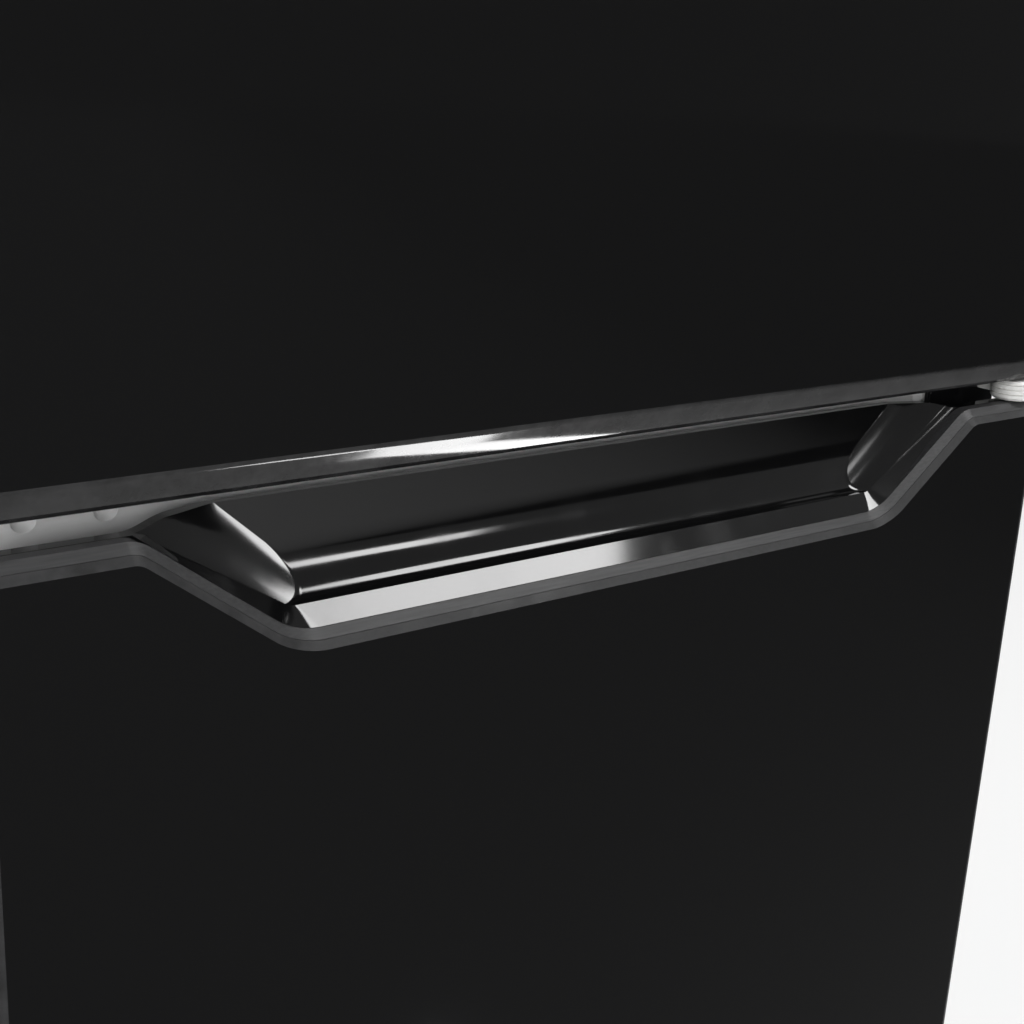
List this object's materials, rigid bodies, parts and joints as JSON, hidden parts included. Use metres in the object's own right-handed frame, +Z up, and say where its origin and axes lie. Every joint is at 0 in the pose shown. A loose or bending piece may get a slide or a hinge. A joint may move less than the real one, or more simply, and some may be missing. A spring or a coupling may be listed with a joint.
{
  "type": "trash compactor",
  "caption": "Built-in trash compactor: black glass console over a pull-out drawer front with a scooped handle, a drawer and bin on rollers, and a screw-driven ram.",
  "frame": {"origin": "on the floor under the middle of the cabinet", "axes": "+Z up, -Y out of the front of the drawer, +X to the right seen from the front"},
  "size_m": [0.381, 0.61, 0.868],
  "materials": {
    "black_glass": "opaque black, polished",
    "edge_metal": "dark anodised, cross-brushed bevel",
    "console_backing": "satin black",
    "handle_moulding": "glossy black",
    "light_paint": "light grey, semi-gloss",
    "cabinet_paint": "dark grey, fine texture",
    "kick_paint": "black, fine texture",
    "galvanised": "galvanised sheet",
    "drawer_paint": "grey, semi-gloss",
    "channel_paint": "dark grey, semi-gloss",
    "ram_steel": "brushed stainless",
    "machined_steel": "machined, lightly greased",
    "zinc_steel": "bright zinc plate",
    "bronze": "sintered bronze",
    "cast_pulley": "cast, machined groove",
    "motor_casting": "painted dark grey",
    "fan_can": "pressed steel",
    "belt_rubber": "matt, lightly dusted",
    "gland_rubber": "matt",
    "white_nylon": "off-white, waxy",
    "bin_plastic": "mid grey, fine texture",
    "black_plastic": "fine texture",
    "housing_plastic": "dark grey, fine texture",
    "circuit_board": "green lacquer",
    "ferrite": "matt dark grey",
    "charcoal_felt": "carbon-loaded felt",
    "button_metal": "satin",
    "lock_chrome": "polished"
  },
  "bodies": {
    "cabinet": {"base_pan": "galvanised", "left_side_panel": "cabinet_paint", "right_side_panel": "cabinet_paint", "back_panel": "galvanised", "top_panel": "galvanised", "toe_kick": "kick_paint", "front_cross_rail": "light_paint", "lower_cross_rail": "light_paint", "console_glass": "black_glass", "console_frame": "console_backing", "control_housing": "housing_plastic", "control_board": "circuit_board", "key_switch_body": "lock_chrome", "top_channel": "channel_paint", "screw_bearings": "bronze", "lower_channel": "channel_paint", "drive_belt": "belt_rubber", "gear_motor": "motor_casting", "motor_bracket": "galvanised", "cabinet_tracks": "galvanised", "track_brackets": "galvanised", "front_axles": "machined_steel", "drawer_guide_bush": "white_nylon", "filter_housing": "housing_plastic", "charcoal_filter": "charcoal_felt", "fan_motor": "fan_can", "drawer_switch": "black_plastic", "power_gland": "gland_rubber", "cabinet_screws": "zinc_steel"},
    "drawer": {"drawer_glass": "black_glass", "drawer_frame": "edge_metal", "handle_pocket": "handle_moulding", "drawer_pan": "drawer_paint", "drawer_cradle": "drawer_paint", "drawer_rails": "galvanised", "rear_axles": "machined_steel", "bin": "bin_plastic", "bag_buttons": "black_plastic", "switch_magnet": "ferrite"},
    "ram": {"ram_plate": "ram_steel", "ram_box": "ram_steel", "crosshead": "channel_paint", "ram_nuts": "bronze"},
    "left_screw": {"left_power_screw": "machined_steel", "left_pulley": "cast_pulley"},
    "right_screw": {"right_power_screw": "machined_steel", "right_pulley": "cast_pulley"},
    "motor_wheel": {"motor_pulley": "cast_pulley"},
    "front_roller_pair": {"front_rollers": "white_nylon"},
    "rear_roller_pair": {"rear_rollers": "white_nylon"},
    "fan": {"fan_impeller": "black_plastic"},
    "start_key": {"start_button": "button_metal"},
    "stop_key": {"stop_button": "button_metal"},
    "extra_pack_key": {"extra_pack_button": "button_metal"},
    "lock": {"key_knob": "lock_chrome"},
    "foot_front_left": {"front_left_leg": "zinc_steel"},
    "foot_front_right": {"front_right_leg": "zinc_steel"},
    "foot_rear_left": {"rear_left_leg": "zinc_steel"},
    "foot_rear_right": {"rear_right_leg": "zinc_steel"}
  },
  "joints": [
    {"name": "drawer_slide", "type": "slide", "parent": "cabinet", "child": "drawer", "axis": [0, -1, 0], "range_m": [0, 0.38]},
    {"name": "ram_slide", "type": "slide", "parent": "cabinet", "child": "ram", "axis": [0, 0, 1], "range_m": [-0.248, 0]},
    {"name": "left_screw_spin", "type": "hinge", "parent": "cabinet", "child": "left_screw", "pos_m": [-0.16, -0.052, 0.4], "axis": [0, 0, 1], "range_deg": [0, 4465]},
    {"name": "right_screw_spin", "type": "hinge", "parent": "cabinet", "child": "right_screw", "pos_m": [0.16, -0.052, 0.4], "axis": [0, 0, 1], "range_deg": [0, 4465]},
    {"name": "motor_spin", "type": "hinge", "parent": "cabinet", "child": "motor_wheel", "pos_m": [0, 0.226, 0.05], "axis": [0, 0, 1], "range_deg": [0, 5840]},
    {"name": "front_roller_spin", "type": "hinge", "parent": "cabinet", "child": "front_roller_pair", "pos_m": [0.13, -0.261, 0.1291], "axis": [1, 0, 0], "range_deg": [0, 1981]},
    {"name": "rear_roller_spin", "type": "hinge", "parent": "drawer", "child": "rear_roller_pair", "pos_m": [0.14, 0.138, 0.1249], "axis": [1, 0, 0], "range_deg": [0, 1981]},
    {"name": "fan_spin", "type": "hinge", "parent": "cabinet", "child": "fan", "pos_m": [0, 0.25, 0.545], "axis": [0, 1, 0], "continuous": true},
    {"name": "start_press", "type": "slide", "parent": "cabinet", "child": "start_key", "axis": [0, 1, 0], "range_m": [0, 0.0025], "stiffness_N_per_m": 300},
    {"name": "stop_press", "type": "slide", "parent": "cabinet", "child": "stop_key", "axis": [0, 1, 0], "range_m": [0, 0.0025], "stiffness_N_per_m": 300},
    {"name": "extra_pack_press", "type": "slide", "parent": "cabinet", "child": "extra_pack_key", "axis": [0, 1, 0], "range_m": [0, 0.0025], "stiffness_N_per_m": 300},
    {"name": "key_turn", "type": "hinge", "parent": "cabinet", "child": "lock", "pos_m": [0.13, -0.3, 0.8328], "axis": [0, 1, 0], "range_deg": [0, 90]},
    {"name": "front_left_level", "type": "slide", "parent": "cabinet", "child": "foot_front_left", "axis": [0, 0, -1], "range_m": [0, 0.015]},
    {"name": "front_right_level", "type": "slide", "parent": "cabinet", "child": "foot_front_right", "axis": [0, 0, -1], "range_m": [0, 0.015]},
    {"name": "rear_left_level", "type": "slide", "parent": "cabinet", "child": "foot_rear_left", "axis": [0, 0, -1], "range_m": [0, 0.015]},
    {"name": "rear_right_level", "type": "slide", "parent": "cabinet", "child": "foot_rear_right", "axis": [0, 0, -1], "range_m": [0, 0.015]}
  ],
  "couplings": [
    {"joint": "left_screw_spin", "follows": "ram_slide", "rad_per_m": -314.16},
    {"joint": "right_screw_spin", "follows": "ram_slide", "rad_per_m": -314.16},
    {"joint": "motor_spin", "follows": "ram_slide", "rad_per_m": -410.82},
    {"joint": "front_roller_spin", "follows": "drawer_slide", "rad_per_m": 90.909},
    {"joint": "rear_roller_spin", "follows": "drawer_slide", "rad_per_m": 90.909}
  ]
}
